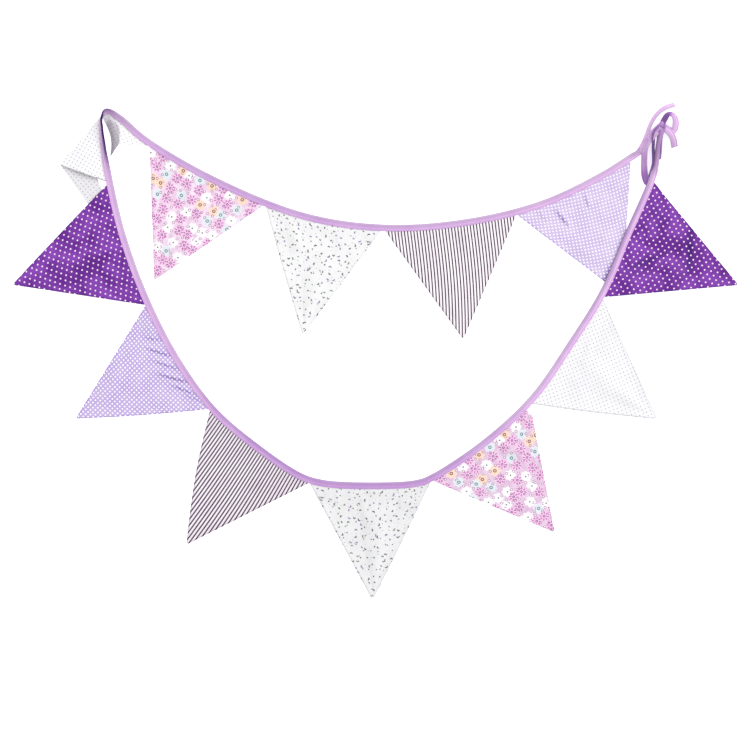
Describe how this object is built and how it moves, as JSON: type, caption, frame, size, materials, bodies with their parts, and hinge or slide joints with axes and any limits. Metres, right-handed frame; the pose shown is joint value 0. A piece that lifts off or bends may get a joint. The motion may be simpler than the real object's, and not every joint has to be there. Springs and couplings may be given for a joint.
{
  "type": "fabric bunting",
  "caption": "Cotton bunting laid flat in a loop: triangular printed pennants sewn into one folded bias tape, its two ends tied in a bow.",
  "frame": {"origin": "middle of the whole outline, on the surface that the bunting lies on", "axes": "+X to the right of the picture, along the bunting's width; +Y up in the picture; +Z up from the surface, through the cloth"},
  "size_m": [1.066, 0.73, 0.0143],
  "materials": {
    "tape_cotton": "lilac woven cotton bias tape, folded and edge stitched",
    "lilac_dot_cotton": "lilac cotton with a small repeat of pale dots",
    "striped_cotton": "white cotton with narrow plum stripes",
    "sprig_cotton": "white cotton with a scatter of tiny sprigs",
    "floral_cotton": "pale pink cotton with small mixed flowers",
    "pin_dot_cotton": "white cotton with tiny dark dots",
    "purple_dot_cotton": "deep purple cotton with white dots"
  },
  "bodies": {
    "root": {"bias_tape": "tape_cotton", "pennant_01": "lilac_dot_cotton", "pennant_02": "striped_cotton", "pennant_03": "sprig_cotton", "pennant_04": "floral_cotton", "pennant_05": "pin_dot_cotton", "pennant_06": "purple_dot_cotton", "pennant_07": "lilac_dot_cotton", "pennant_08": "striped_cotton", "pennant_09": "sprig_cotton", "pennant_10": "floral_cotton", "pennant_11": "pin_dot_cotton", "pennant_12": "purple_dot_cotton"}
  },
  "joints": []
}
